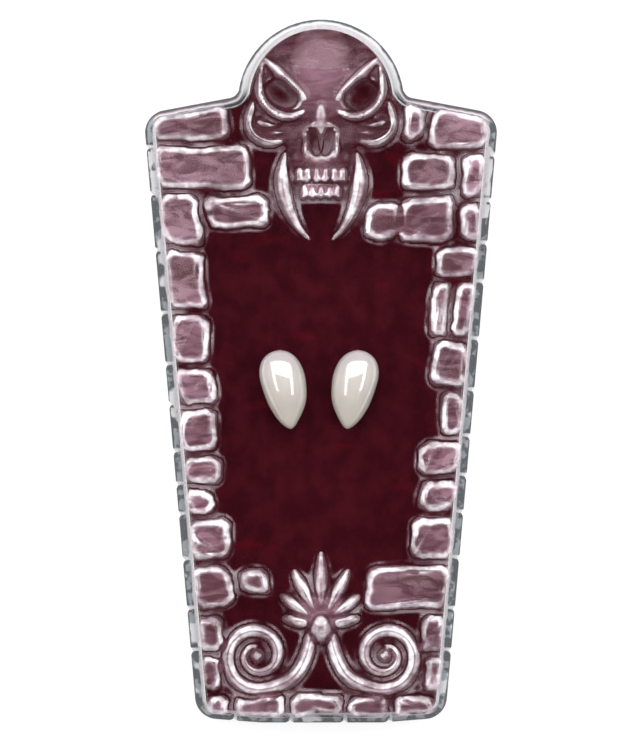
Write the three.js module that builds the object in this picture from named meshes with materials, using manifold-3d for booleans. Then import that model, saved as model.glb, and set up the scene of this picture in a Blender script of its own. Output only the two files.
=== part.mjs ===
// Two vampire fang caps in a coffin-shaped box, in millimetres, +Z up.
// The box lies on its back: +Y runs to the head of the coffin, +X to its right, and the clear lid faces up.
// The origin is the middle of the footprint, on the surface that the box lies on.
// The box is a shallow tray, a velvet-faced card that lies on the tray's wall, and a lid pressed over both.
// The lid carries cast relief: a frame of stones, a skull in the dome and a pair of scrolls at the foot.
import * as THREE from "three";
import { mergeVertices } from "three/addons/utils/BufferGeometryUtils.js";
import Module from "manifold-3d";

const wasm = await Module();
wasm.setup();

// Plan of the box
const LENGTH = 140.4;
const FOOT = { x: 24.8, y: -69.2 };
const SHOULDER = { x: 35.5, y: 51.3 };
const VALLEY = { x: 17.3, y: 54.7 };
const FOOT_BOW = 12;
const DOME = { y: 53.6, radius: LENGTH / 2 - 53.6, springs: 8 };
const ARC_STEP = 16;
// The right half's corners, foot to head, and how far each is rounded
const CORNERS = [
  { x: FOOT_BOW, y: -LENGTH / 2, round: 8 },
  { ...FOOT, round: 4.5 },
  { ...SHOULDER, round: 4.5 },
  { ...VALLEY, round: 2 },
];

// Heights, and how far each face stands in from the outline
const GAP = 0.3;
const FLANGE_TOP = 2;
const TRAY_FLOOR = 1.2;
const TRAY_WALL = { outside: 2, inside: 3.1, top: 8 };
const CARD = { inset: 2.3, bottom: TRAY_WALL.top + GAP, thick: 1.5 };
const CARD_TOP = CARD.bottom + CARD.thick;
const LID = { bottom: FLANGE_TOP + GAP, wall: 1, ceiling: 19.4, plate: 20.4, stones: 22.9 };
const DRAFT = 2;
const STONE_BEVEL = 1;
const NOTCH = { half: 0.8, deep: 0.5 };

// Stones along the long sides: where each starts and ends along the box, and how far in from the side.
const STONES = {
  left: [
    { head: 60, foot: 45, from: 0, to: 17.2 },
    { head: 44, foot: 35.7, from: 0, to: 20.6 },
    { head: 34.8, foot: 24.6, from: 0, to: 10 },
    { head: 34.6, foot: 28, from: 10.8, to: 23.2 },
    { head: 23.4, foot: 12, from: 0, to: 9.8 },
    { head: 10.8, foot: 1.8, from: 0, to: 9.6 },
    { head: 0.7, foot: -6.2, from: 0, to: 10 },
    { head: -7.2, foot: -15.6, from: 0, to: 9.6 },
    { head: -16.6, foot: -22.2, from: 0, to: 9.9 },
    { head: -23.2, foot: -28.2, from: 0, to: 7.4 },
    { head: -29.2, foot: -37.2, from: 0, to: 10.2 },
    { head: -38.3, foot: -47, from: 0, to: 9.8 },
    { head: -38.8, foot: -43.8, from: 11, to: 17.2 },
    { head: -48.1, foot: -55.4, from: 0, to: 6.8 },
    { head: -56.4, foot: -63, from: 0, to: 5.6 },
  ],
  right: [
    { head: 60, foot: 43.6, from: 0, to: 13.6 },
    { head: 60, foot: 45, from: 14.8, to: 19.4 },
    { head: 42.4, foot: 34.4, from: 0, to: 6.8 },
    { head: 42.6, foot: 35.4, from: 7.9, to: 18.6 },
    { head: 33.4, foot: 26, from: 0, to: 6 },
    { head: 34.2, foot: 25.4, from: 7.1, to: 18.6 },
    { head: 33.2, foot: 26, from: 18.2, to: 24.8 },
    { head: 24.8, foot: 18.2, from: 0, to: 10 },
    { head: 17.2, foot: 6.8, from: 0, to: 5.8 },
    { head: 17.4, foot: 6.4, from: 6.8, to: 10.2 },
    { head: 5.8, foot: -3.4, from: 0, to: 9.4 },
    { head: -4.4, foot: -12.6, from: 0, to: 6.8 },
    { head: -13.6, foot: -20.4, from: 0, to: 9.9 },
    { head: -21.5, foot: -27.8, from: 0, to: 9.6 },
    { head: -28.8, foot: -36.8, from: 0, to: 10.6 },
    { head: -38, foot: -47, from: 0, to: 18.4 },
    { head: -48.1, foot: -55.4, from: 0, to: 6.8 },
    { head: -56.4, foot: -63, from: 0, to: 5.6 },
  ],
};
const STONE_LIP = { mitre: 1.5, past: 1.5 };
// The foot's own course: where the upright joints lie, left to right
const FOOT_JOINTS = [-17.4, -6.2, 4.6, 13.6];
const FOOT_COURSE = { head: -63.8, foot: -75 };
const FOOT_GAP = 0.9;

// The cap: how far along from the root end, and there the half width, the drift towards the other cap,
// the height of the middle above its lowest point, and the half depth
const FANG_LENGTH = 15.9;
const FANG_SECTIONS = [
  { along: 0, half: 0, drift: 0, middle: 5.4, deep: 0 },
  { along: 0.03, half: 1.9, drift: 0, middle: 5.3, deep: 1.2 },
  { along: 0.1, half: 3.4, drift: 0, middle: 5, deep: 2.4 },
  { along: 0.2, half: 4.25, drift: 0.12, middle: 4.6, deep: 3.5 },
  { along: 0.32, half: 4.7, drift: 0.4, middle: 4.2, deep: 4.1 },
  { along: 0.45, half: 4.55, drift: 0.75, middle: 4.1, deep: 4.1 },
  { along: 0.58, half: 4.25, drift: 1.15, middle: 3.8, deep: 3.7 },
  { along: 0.7, half: 3.7, drift: 1.35, middle: 3.3, deep: 3.1 },
  { along: 0.8, half: 2.9, drift: 1.5, middle: 2.8, deep: 2.45 },
  { along: 0.9, half: 1.9, drift: 1.65, middle: 2.4, deep: 1.7 },
  { along: 0.965, half: 1, drift: 1.92, middle: 2.15, deep: 0.95 },
  { along: 1, half: 0, drift: 2.1, middle: 2.05, deep: 0 },
];
const FANG_SIDES = 20;
const FANG_WALL = 0.8;
const HOLLOW = { start: 0.045, last: 0.58, end: 0.66, taper: 0.78 };
const MOUTH = { edgeY: 7.6, edgeZ: 5.2, heelY: 0.6, block: 30 };
const FANG_PLACE = { left: -8.1, right: 7.3, y: -3.7 };

// The skull in the dome. A rib rises by a multiple of its half width.
const SKULL = {
  crown: { at: [0, 57], size: [14.4, 12.4, 4.6] },
  forehead: { at: [0, 60.6], size: [7.6, 7.4, 6] },
  bridge: { at: [0, 50.4], size: [2.6, 6.2, 4.8] },
  face: { at: [0, 47.4], size: [9, 6, 3.9] },
  jaw: { at: [0, 41.4], size: [7, 5.6, 4.4] },
  cheek: { at: [10.6, 47.6], size: [4.4, 3.4, 2.8] },
  socket: { at: [7.9, 54.4], size: [3.9, 2.7, 4.4], lift: 4.3, turn: 36 },
  nose: { at: [1.3, 45], size: [1.2, 3, 3.4], lift: 3.3, turn: -16 },
};
const BROW = [
  { x: 1.7, y: 52, half: 0.8 },
  { x: 3.4, y: 53.6, half: 1.3 },
  { x: 6.4, y: 56.8, half: 1.6 },
  { x: 9.6, y: 60, half: 1.4 },
  { x: 11.6, y: 61.4, half: 0.8 },
];
const RIM = [
  { x: 2.2, y: 52.2, half: 0.8 },
  { x: 4.2, y: 49.9, half: 1.2 },
  { x: 8.4, y: 49.8, half: 1.3 },
  { x: 11.7, y: 52.7, half: 1.1 },
  { x: 12.5, y: 56.6, half: 1 },
  { x: 11.4, y: 61, half: 0.8 },
];
const CHEEK = [
  { x: 12.4, y: 54, half: 0.9 },
  { x: 14.4, y: 50.6, half: 1.3 },
  { x: 14, y: 46.6, half: 1.7 },
  { x: 10.6, y: 44.7, half: 1.7 },
  { x: 7, y: 45.4, half: 1.2 },
  { x: 5, y: 47.4, half: 0.7 },
];
const NOSTRIL = [
  { x: 0.1, y: 51.2, half: 0.4 },
  { x: 1.5, y: 48.6, half: 0.7 },
  { x: 3.1, y: 44.8, half: 0.8 },
  { x: 3.2, y: 42, half: 0.7 },
  { x: 1.3, y: 41, half: 0.5 },
];
const SKULL_FANG = [
  { x: 6.8, y: 43.4, half: 0.6 },
  { x: 7.4, y: 40.8, half: 1.5 },
  { x: 7.7, y: 37.2, half: 2.1 },
  { x: 6.9, y: 33, half: 1.9 },
  { x: 5.3, y: 29.4, half: 1.35 },
  { x: 3.4, y: 26.8, half: 0.7 },
  { x: 1.9, y: 25.6, half: 0.15 },
];
const RISE = { brow: 4.2, rim: 4.4, cheek: 2.1, nostril: 7, fang: 2.1, volute: 1.55 };
const TEETH = [
  { count: 6, pitch: 1.75, y: 38.4, rise: 4.6 },
  { count: 5, pitch: 1.7, y: 35.4, rise: 3.2 },
];
const TOOTH_LONG = 1.9;

// The scrolls and palmette at the foot
const VOLUTE = { x: 12.6, y: -56, outer: 7, eye: 1.4, from: -115, turns: 1.6, steps: 22 };
const VOLUTE_BAND = { outer: 1.9, eye: 1.1 };
const STEM = [
  { x: 0.9, y: -45.6, half: 0.8 },
  { x: 1.7, y: -50.4, half: 1.5 },
  { x: 2.6, y: -55.6, half: 1.8 },
  { x: 5, y: -60.4, half: 1.9 },
];
const PALMETTE = { y: -49.8, leaves: 7, spread: 27, long: 14.4, short: 8, half: 1.75, rise: 2.9 };
const BUD = { at: [0, -50.4], size: [3.1, 3.7, 3.7] };
const TUBE_SIDES = 8;

// Looks
const CLEAR = { color: 0xd8ccd2, roughness: 0.08, metalness: 0, transparent: true, opacity: 0.3 };
const VELVET = { color: 0x3d0d18, roughness: 0.95, metalness: 0 };
const ACRYLIC = { color: 0xe3dcd6, roughness: 0.12, metalness: 0 };

const radians = THREE.MathUtils.degToRad;
const mix = THREE.MathUtils.lerp;

// A closed geometry as a solid that can be joined and cut
function solidOf(geometry) {
  const bare = geometry.clone();
  bare.deleteAttribute("normal");
  bare.deleteAttribute("uv");
  const merged = mergeVertices(bare, 1e-4);
  return new wasm.Manifold(
    new wasm.Mesh({
      numProp: 3,
      vertProperties: merged.attributes.position.array,
      triVerts: new Uint32Array(merged.index.array),
    }),
  );
}

// A solid as a named mesh
function meshOf(name, solid, look) {
  const { vertProperties, triVerts } = solid.getMesh();
  const geometry = new THREE.BufferGeometry();
  geometry.setAttribute("position", new THREE.BufferAttribute(vertProperties, 3));
  geometry.setIndex(new THREE.BufferAttribute(triVerts, 1));
  geometry.computeVertexNormals();
  const mesh = new THREE.Mesh(geometry, new THREE.MeshStandardMaterial(look));
  mesh.name = name;
  return mesh;
}

const joined = (solids) => solids.reduce((whole, solid) => whole.add(solid));

function indexed(points, faces) {
  const geometry = new THREE.BufferGeometry();
  const flat = points.flatMap((p) => [p.x, p.y, p.z]);
  geometry.setAttribute("position", new THREE.Float32BufferAttribute(flat, 3));
  geometry.setIndex(faces.flat());
  return solidOf(geometry);
}

// The faces between rings of equal length, each counterclockwise about the way from first to last
function bands(rings) {
  const sides = rings[0].length;
  return rings.slice(1).flatMap((ring, level) =>
    ring.flatMap((_, i) => {
      const [a, b] = [level * sides + i, level * sides + ((i + 1) % sides)];
      return [[a, b, b + sides], [a, b + sides, a + sides]];
    }),
  );
}

// Level rings, bottom to top, closed by flat caps
function lofted(rings) {
  const sides = rings[0].length;
  const last = (rings.length - 1) * sides;
  const flat = rings[0].map((p) => new THREE.Vector2(p.x, p.y));
  const floor = THREE.ShapeUtils.triangulateShape(flat, []).map(([a, b, c]) => [a, c, b]);
  const top = rings.at(-1).map((p) => new THREE.Vector2(p.x, p.y));
  const roof = THREE.ShapeUtils.triangulateShape(top, []).map((face) => face.map((i) => i + last));
  return indexed(rings.flat(), [...floor, ...bands(rings), ...roof]);
}

// Rings that close to a point at each end
function spindle(start, rings, end) {
  const sides = rings[0].length;
  const points = [...rings.flat(), start, end];
  const [first, final] = [points.length - 2, points.length - 1];
  const last = (rings.length - 1) * sides;
  const ends = rings[0].flatMap((_, i) => {
    const next = (i + 1) % sides;
    return [[first, next, i], [final, last + i, last + next]];
  });
  return indexed(points, [...bands(rings), ...ends]);
}

function ellipsoid({ at, size, lift = 0, turn = 0 }, across = 20, down = 12) {
  const ball = new THREE.SphereGeometry(1, across, down).rotateX(Math.PI / 2);
  ball.scale(...size);
  ball.rotateZ(radians(turn));
  ball.translate(at[0], at[1], LID.plate + lift);
  return solidOf(ball);
}

const mirrored = (spec, side) => ({ ...spec, at: [side * spec.at[0], spec.at[1]], turn: side * (spec.turn ?? 0) });
const bothSides = (make) => joined([-1, 1].map(make));

// A raised rib on the lid's plate: at each station an oval, as many half widths high as stated
function rib(stations, tall, side) {
  const place = stations.map((s) => new THREE.Vector3(side * s.x, s.y, LID.plate));
  const rings = stations.slice(1, -1).map(({ half }, i) => {
    const way = new THREE.Vector3().subVectors(place[i + 2], place[i]).normalize();
    const across = new THREE.Vector3(way.y, -way.x, 0);
    return Array.from({ length: TUBE_SIDES }, (_, k) => {
      const angle = (2 * Math.PI * k) / TUBE_SIDES;
      const point = place[i + 1].clone().addScaledVector(across, half * Math.cos(angle));
      point.z += tall * half * Math.sin(angle);
      return point;
    });
  });
  return spindle(place[0], rings.map((ring) => ring.reverse()), place.at(-1));
}

// Corners replaced by arcs, as points counterclockwise
function roundedCorners(corners) {
  return corners.flatMap((corner, i) => {
    const here = new THREE.Vector2(corner.x, corner.y);
    if (!corner.round) return [here];
    const before = corners.at(i - 1);
    const after = corners[(i + 1) % corners.length];
    const into = here.clone().sub(before).normalize();
    const out = new THREE.Vector2(after.x, after.y).sub(here).normalize();
    const turn = Math.atan2(into.cross(out), into.dot(out));
    const start = here.clone().addScaledVector(into, -corner.round * Math.tan(Math.abs(turn) / 2));
    const towards = new THREE.Vector2(-into.y, into.x).multiplyScalar(Math.sign(turn));
    const centre = start.clone().addScaledVector(towards, corner.round);
    const steps = Math.max(1, Math.ceil(Math.abs(turn) / radians(ARC_STEP)));
    return Array.from({ length: steps + 1 }, (_, k) =>
      start.clone().rotateAround(centre, (turn * k) / steps),
    );
  });
}

function coffinPlan() {
  const arc = 180 - 2 * DOME.springs;
  const steps = Math.round(arc / ARC_STEP);
  const dome = Array.from({ length: steps + 1 }, (_, k) => {
    const angle = radians(DOME.springs + (arc * k) / steps);
    return { x: DOME.radius * Math.cos(angle), y: DOME.y + DOME.radius * Math.sin(angle) };
  });
  const left = [...CORNERS].reverse().map((corner) => ({ ...corner, x: -corner.x }));
  return roundedCorners([...CORNERS, ...dome, ...left]);
}

// The same plan with a notch in it at each joint between stones
function notchedPlan(plan, joints) {
  return plan.flatMap((here, i) => {
    const next = plan[(i + 1) % plan.length];
    const edge = next.clone().sub(here);
    const long = edge.length();
    const way = edge.divideScalar(long);
    const cuts = joints
      .map((joint) => joint.clone().sub(here))
      .filter((v) => Math.abs(v.cross(way)) < NOTCH.deep)
      .map((v) => v.dot(way))
      .filter((run) => run > NOTCH.half && run < long - NOTCH.half)
      .sort((a, b) => a - b);
    const points = cuts.flatMap((run) =>
      [-NOTCH.half, 0, NOTCH.half].map((off) => {
        const point = here.clone().addScaledVector(way, run + off);
        point.notch = off ? 0 : NOTCH.deep;
        return point;
      }),
    );
    return [here, ...points];
  });
}

// The plan drawn in by a distance, at a height
function ring(plan, inset, z) {
  return plan.map((here, i) => {
    const before = here.clone().sub(plan.at(i - 1)).normalize();
    const after = plan[(i + 1) % plan.length].clone().sub(here).normalize();
    const way = before.clone().add(after).normalize();
    const mitre = here.notch ? 1 : 1 / Math.max(0.7, way.dot(before));
    const run = (inset + (here.notch ?? 0)) * mitre;
    return new THREE.Vector3(here.x - way.y * run, here.y + way.x * run, z);
  });
}

const prism = (plan, inset, bottom, top) => lofted([ring(plan, inset, bottom), ring(plan, inset, top)]);
const draftAt = (z) => (DRAFT * (z - LID.bottom)) / (LID.plate - LID.bottom);
const sideAt = (y) => mix(FOOT.x, SHOULDER.x, (y - FOOT.y) / (SHOULDER.y - FOOT.y));

// A stone as a block with mitred corners and a bevelled top, from its four plan corners
function stoneBlock(corners) {
  const cut = corners.flatMap((corner, i) => {
    const before = corners.at(i - 1);
    const after = corners[(i + 1) % corners.length];
    return [before, after].map((other) => {
      const edge = other.clone().sub(corner);
      return corner.clone().addScaledVector(edge, Math.min(0.3, STONE_LIP.mitre / edge.length()));
    });
  });
  return lofted([
    ring(cut, 0, LID.ceiling + LID.wall / 2),
    ring(cut, 0.15, LID.stones - STONE_BEVEL),
    ring(cut, STONE_BEVEL, LID.stones),
  ]);
}

function sideStone({ head, foot, from, to }, side) {
  const outer = from || -STONE_LIP.past;
  const corners = [
    new THREE.Vector2(sideAt(foot) - to, foot),
    new THREE.Vector2(sideAt(foot) - outer, foot),
    new THREE.Vector2(sideAt(head) - outer, head),
    new THREE.Vector2(sideAt(head) - to, head),
  ];
  if (side < 0) corners.reverse();
  return stoneBlock(corners.map((corner) => corner.setX(side * corner.x)));
}

function footStones() {
  const edges = [-FOOT.x - STONE_LIP.past, ...FOOT_JOINTS, FOOT.x + STONE_LIP.past];
  return edges.slice(1).map((right, i) => {
    const [x0, x1] = [edges[i] + FOOT_GAP / 2, right - FOOT_GAP / 2];
    const { head, foot } = FOOT_COURSE;
    return stoneBlock([[x0, foot], [x1, foot], [x1, head], [x0, head]].map(([x, y]) => new THREE.Vector2(x, y)));
  });
}

// Where the joints between the outermost stones meet the outline
function wallJoints() {
  const sides = [["left", -1], ["right", 1]].flatMap(([name, side]) => {
    const outer = STONES[name].filter((stone) => !stone.from);
    return outer.slice(1).map((stone, i) => {
      const y = (stone.head + outer[i].foot) / 2;
      return new THREE.Vector2(side * sideAt(y), y);
    });
  });
  return [...sides, ...FOOT_JOINTS.map((x) => new THREE.Vector2(x, -LENGTH / 2))];
}

function skull() {
  const teeth = TEETH.flatMap(({ count, pitch, y, rise }) =>
    Array.from({ length: count }, (_, i) => {
      const x = (i - (count - 1) / 2) * pitch;
      return ellipsoid({ at: [x, y], size: [pitch * 0.49, TOOTH_LONG, rise] }, 8, 6);
    }),
  );
  const bone = joined([
    ellipsoid(SKULL.crown, 28, 16),
    ...[SKULL.forehead, SKULL.bridge, SKULL.face, SKULL.jaw].map((lump) => ellipsoid(lump)),
    bothSides((side) => ellipsoid(mirrored(SKULL.cheek, side), 14, 8)),
    bothSides((side) => rib(BROW, RISE.brow, side)),
    bothSides((side) => rib(RIM, RISE.rim, side)),
    bothSides((side) => rib(CHEEK, RISE.cheek, side)),
    bothSides((side) => rib(NOSTRIL, RISE.nostril, side)),
    bothSides((side) => rib(SKULL_FANG, RISE.fang, side)),
    ...teeth,
  ]);
  return bone
    .subtract(bothSides((side) => ellipsoid(mirrored(SKULL.socket, side), 16, 10)))
    .subtract(bothSides((side) => ellipsoid(mirrored(SKULL.nose, side), 10, 8)));
}

function volute(side) {
  const { x, y, outer, eye, from, turns, steps } = VOLUTE;
  const curl = Array.from({ length: steps + 1 }, (_, k) => {
    const along = k / steps;
    const angle = radians(from + 360 * turns * along);
    const radius = mix(outer, eye, along);
    return {
      x: x + radius * Math.cos(angle),
      y: y + radius * Math.sin(angle),
      half: mix(VOLUTE_BAND.outer, VOLUTE_BAND.eye, along),
    };
  });
  return rib([...STEM, ...curl], RISE.volute, side);
}

function palmette() {
  const { y, leaves, spread, long, short, half, rise } = PALMETTE;
  const middle = (leaves - 1) / 2;
  const fan = Array.from({ length: leaves }, (_, i) => {
    const turn = (i - middle) * spread;
    const length = mix(long, short, Math.abs(i - middle) / middle);
    const reach = length / 2;
    const at = [-reach * Math.sin(radians(turn)), y + reach * Math.cos(radians(turn))];
    return ellipsoid({ at, size: [half, reach, rise], turn }, 12, 8);
  });
  return joined([...fan, ellipsoid(BUD, 14, 8)]);
}

// Everything outside the lid's hollow, with the relief on it
function lid() {
  const plan = coffinPlan();
  const notched = notchedPlan(plan, wallJoints());
  const slab = LID.plate + 1;
  const envelope = lofted([
    ring(notched, 0, LID.bottom),
    ring(notched, DRAFT, LID.plate),
    ring(notched, DRAFT + 0.3, LID.stones - STONE_BEVEL),
    ring(notched, DRAFT + 0.3 + STONE_BEVEL, LID.stones),
  ]);
  const below = prism(plan, -1, 0, LID.plate);
  const stones = [
    ...STONES.left.map((stone) => sideStone(stone, -1)),
    ...STONES.right.map((stone) => sideStone(stone, 1)),
    ...footStones(),
  ];
  const domeRoom = ellipsoid({ ...SKULL.crown, size: [DOME.radius + 1, SKULL.crown.size[1] + 3, slab] });
  const frame = joined(stones).subtract(domeRoom);
  const walls = envelope.intersect(below.add(frame));
  const relief = joined([skull(), bothSides(volute), palmette()]);
  const hollow = lofted([
    ring(plan, LID.wall + draftAt(0), 0),
    ring(plan, LID.wall + draftAt(LID.ceiling), LID.ceiling),
  ]);
  const above = prism(plan, DRAFT, LID.ceiling, LID.plate + 20);
  return walls.add(relief.intersect(above)).subtract(hollow);
}

function tray() {
  const plan = coffinPlan();
  return prism(plan, 0, 0, FLANGE_TOP)
    .add(prism(plan, TRAY_WALL.outside, 0, TRAY_WALL.top))
    .subtract(prism(plan, TRAY_WALL.inside, TRAY_FLOOR, TRAY_WALL.top + 1));
}

const card = () => prism(coffinPlan(), CARD.inset, CARD.bottom, CARD_TOP);

// One section of the cap, drawn in by the wall's thickness for the hollow
function fangRing({ along, half, drift, middle, deep }, side, inset, scale = 1) {
  return Array.from({ length: FANG_SIDES }, (_, k) => {
    const angle = (2 * Math.PI * k) / FANG_SIDES;
    const x = -side * drift + scale * (half - inset) * Math.cos(angle);
    const z = middle + scale * (deep - inset) * Math.sin(angle);
    return new THREE.Vector3(x, (0.5 - along) * FANG_LENGTH, z);
  });
}

function fangPole({ drift, middle }, along, side) {
  return new THREE.Vector3(-side * drift, (0.5 - along) * FANG_LENGTH, middle);
}

// A hollow cap that lies on its back, root end to +Y, with its mouth cut back and down
function fang(side) {
  const body = FANG_SECTIONS.slice(1, -1);
  const outer = spindle(
    fangPole(FANG_SECTIONS[0], 0, side),
    body.map((section) => fangRing(section, side, 0)),
    fangPole(FANG_SECTIONS.at(-1), 1, side),
  );
  const deep = body.filter(({ along }) => along > HOLLOW.start && along <= HOLLOW.last);
  const hollow = spindle(
    fangPole(FANG_SECTIONS[0], HOLLOW.start, side),
    deep.map((section) => fangRing(section, side, FANG_WALL, section.along < HOLLOW.last ? 1 : HOLLOW.taper)),
    fangPole(deep.at(-1), HOLLOW.end, side),
  );
  const slope = Math.atan2(MOUTH.edgeZ, MOUTH.edgeY - MOUTH.heelY);
  const block = new THREE.BoxGeometry(MOUTH.block, MOUTH.block, MOUTH.block);
  block.translate(0, 0, -MOUTH.block / 2).rotateX(slope).translate(0, MOUTH.heelY, 0);
  return outer.subtract(hollow).subtract(solidOf(block));
}

const box = new THREE.Group();
box.add(meshOf("tray", tray(), CLEAR));
box.add(meshOf("velvet_card", card(), VELVET));
box.add(meshOf("lid", lid(), CLEAR));
for (const [name, side] of [["left", -1], ["right", 1]]) {
  const cap = meshOf(`${name}_fang`, fang(side), ACRYLIC);
  cap.position.set(FANG_PLACE[name], FANG_PLACE.y, CARD_TOP + GAP);
  box.add(cap);
}

export default box;
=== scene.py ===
"""A pair of vampire fang caps in a clear coffin-shaped box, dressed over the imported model.

Pieces are modelled in millimetres, in the model's frame, and brought to metres when they are finished.
"""

import logging
import math
from dataclasses import dataclass, field
from enum import Enum
from typing import Any, Callable, Iterable, Sequence

import bpy
import numpy as np
from mathutils import Matrix, Vector


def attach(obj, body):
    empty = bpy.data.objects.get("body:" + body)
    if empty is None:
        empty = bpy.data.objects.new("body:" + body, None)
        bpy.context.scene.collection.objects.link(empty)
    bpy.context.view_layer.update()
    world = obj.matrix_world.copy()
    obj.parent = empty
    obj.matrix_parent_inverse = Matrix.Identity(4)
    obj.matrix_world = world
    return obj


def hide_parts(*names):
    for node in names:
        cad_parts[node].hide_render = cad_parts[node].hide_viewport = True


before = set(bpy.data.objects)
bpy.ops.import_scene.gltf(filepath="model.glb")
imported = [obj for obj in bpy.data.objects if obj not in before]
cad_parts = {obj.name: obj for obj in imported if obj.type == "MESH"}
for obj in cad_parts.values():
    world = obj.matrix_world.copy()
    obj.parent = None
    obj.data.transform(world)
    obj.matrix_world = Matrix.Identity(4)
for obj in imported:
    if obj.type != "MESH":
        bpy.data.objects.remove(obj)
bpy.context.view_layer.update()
bpy.ops.object.select_all(action="DESELECT")

LOG = logging.getLogger("coffin_box")
MM = 0.001
PLATE = 20.4
CREASE = 40.0

Colour = tuple[float, float, float]
Size = tuple[float, float, float]
Station = tuple[float, float, float]
Ring = list[Vector]


class Side(Enum):
    """The two sides of the box, by the sign of X."""

    LEFT = -1
    RIGHT = 1


class Cut(Enum):
    """What a boolean does with the tool."""

    JOIN = "UNION"
    TAKE = "DIFFERENCE"
    KEEP = "INTERSECT"


def active(piece: bpy.types.Object) -> bpy.types.Object:
    """Makes one piece the only selected one, and returns it."""
    bpy.ops.object.select_all(action="DESELECT")
    piece.select_set(True)
    bpy.context.view_layer.objects.active = piece
    return piece


def apply_place() -> None:
    """Brings the active piece's place, turn and scale into its mesh."""
    bpy.ops.object.transform_apply(location=True, rotation=True, scale=True)


def face_outwards() -> None:
    """Turns all faces of the mesh in edit mode outwards."""
    bpy.ops.mesh.select_all(action="SELECT")
    bpy.ops.mesh.normals_make_consistent(inside=False)


def edit(piece: bpy.types.Object, *steps: Callable[[], Any]) -> None:
    """Runs steps in edit mode on everything in a piece.

    Args:
        piece: The piece to edit.
        steps: Calls made in turn, with all of the mesh selected before the first.
    """
    active(piece)
    bpy.ops.object.mode_set(mode="EDIT")
    bpy.ops.mesh.select_all(action="SELECT")
    for step in steps:
        step()
    bpy.ops.object.mode_set(mode="OBJECT")


def bevel_edges(
    piece: bpy.types.Object, wanted: Callable[[Vector, Vector], bool], width: float, steps: int
) -> None:
    """Rounds the edges whose two ends pass a test.

    Args:
        piece: The piece to round.
        wanted: Takes the places of an edge's ends.
        width: The bevel's width in millimetres.
        steps: How many faces run across it.
    """
    active(piece)
    mesh = piece.data
    bpy.ops.object.mode_set(mode="EDIT")
    bpy.ops.mesh.select_mode(type="EDGE")
    bpy.ops.mesh.select_all(action="DESELECT")
    bpy.ops.object.mode_set(mode="OBJECT")
    for edge in mesh.edges:
        a, b = (mesh.vertices[i].co for i in edge.vertices)
        edge.select = wanted(a, b)
    bpy.ops.object.mode_set(mode="EDIT")
    bpy.ops.mesh.bevel(offset=width, segments=steps, profile=0.5, affect="EDGES")
    bpy.ops.object.mode_set(mode="OBJECT")


def modify(piece: bpy.types.Object, kind: str, **settings: Any) -> None:
    """Adds a modifier with its settings and applies it."""
    active(piece)
    modifier = piece.modifiers.new(kind.lower(), kind)
    for name, value in settings.items():
        setattr(modifier, name, value)
    bpy.ops.object.modifier_apply(modifier=modifier.name)


def carve(piece: bpy.types.Object, tool: bpy.types.Object, cut: Cut) -> None:
    """Joins, cuts or trims a piece with a tool, which is used up.

    Args:
        piece: The piece that is kept.
        tool: The closed tool.
        cut: What happens where the two overlap.
    """
    modify(piece, "BOOLEAN", object=tool, operation=cut.value, solver="MANIFOLD")
    bpy.data.objects.remove(tool, do_unlink=True)


def gather(name: str, pieces: Iterable[bpy.types.Object]) -> bpy.types.Object:
    """Makes one object of several, under a name, and returns it."""
    pieces = list(pieces)
    bpy.ops.object.select_all(action="DESELECT")
    for piece in pieces:
        piece.select_set(True)
    bpy.context.view_layer.objects.active = pieces[0]
    if len(pieces) > 1:
        bpy.ops.object.join()
    pieces[0].name = name
    return pieces[0]


def places_of(piece: bpy.types.Object) -> np.ndarray:
    """Returns the places of a piece's vertices, a row each."""
    places = np.empty(len(piece.data.vertices) * 3)
    piece.data.vertices.foreach_get("co", places)
    return places.reshape(-1, 3)


def mark(piece: bpy.types.Object, name: str, values: np.ndarray) -> None:
    """Writes a number to each vertex of a piece, as an attribute that shaders can read."""
    attribute = piece.data.attributes.new(name, "FLOAT", "POINT")
    attribute.data.foreach_set("value", values.astype(np.float32))


def loft(name: str, rings: Sequence[Ring]) -> bpy.types.Object:
    """Skins closed rings of equal length and closes the ends.

    Args:
        name: The name of the piece.
        rings: The rings from one end to the other. A ring with all its points in one place is a pole.

    Returns:
        The closed piece.
    """
    around = len(rings[0])
    bpy.ops.mesh.primitive_grid_add(x_subdivisions=around, y_subdivisions=len(rings) - 1, size=1)
    piece = bpy.context.object
    piece.name = name
    places = [ring[i % around] for ring in rings for i in range(around + 1)]
    piece.data.vertices.foreach_set("co", [value for place in places for value in place])
    edit(
        piece,
        lambda: bpy.ops.mesh.remove_doubles(threshold=1e-4),
        lambda: bpy.ops.mesh.fill_holes(sides=0),
        face_outwards,
    )
    return piece


@dataclass(frozen=True)
class Swell:
    """A rounded swelling on the lid's plate: its middle, half sizes, height over the plate and turn."""

    at: tuple[float, float]
    size: Size
    lift: float = 0.0
    turn: float = 0.0

    def model(self, side: Side = Side.RIGHT) -> bpy.types.Object:
        """Models it as a stretched ball on one side of the box."""
        bpy.ops.mesh.primitive_uv_sphere_add(
            segments=32,
            ring_count=20,
            radius=1,
            location=(side.value * self.at[0], self.at[1], PLATE + self.lift),
            rotation=(0, 0, math.radians(side.value * self.turn)),
            scale=self.size,
        )
        apply_place()
        return bpy.context.object


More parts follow.
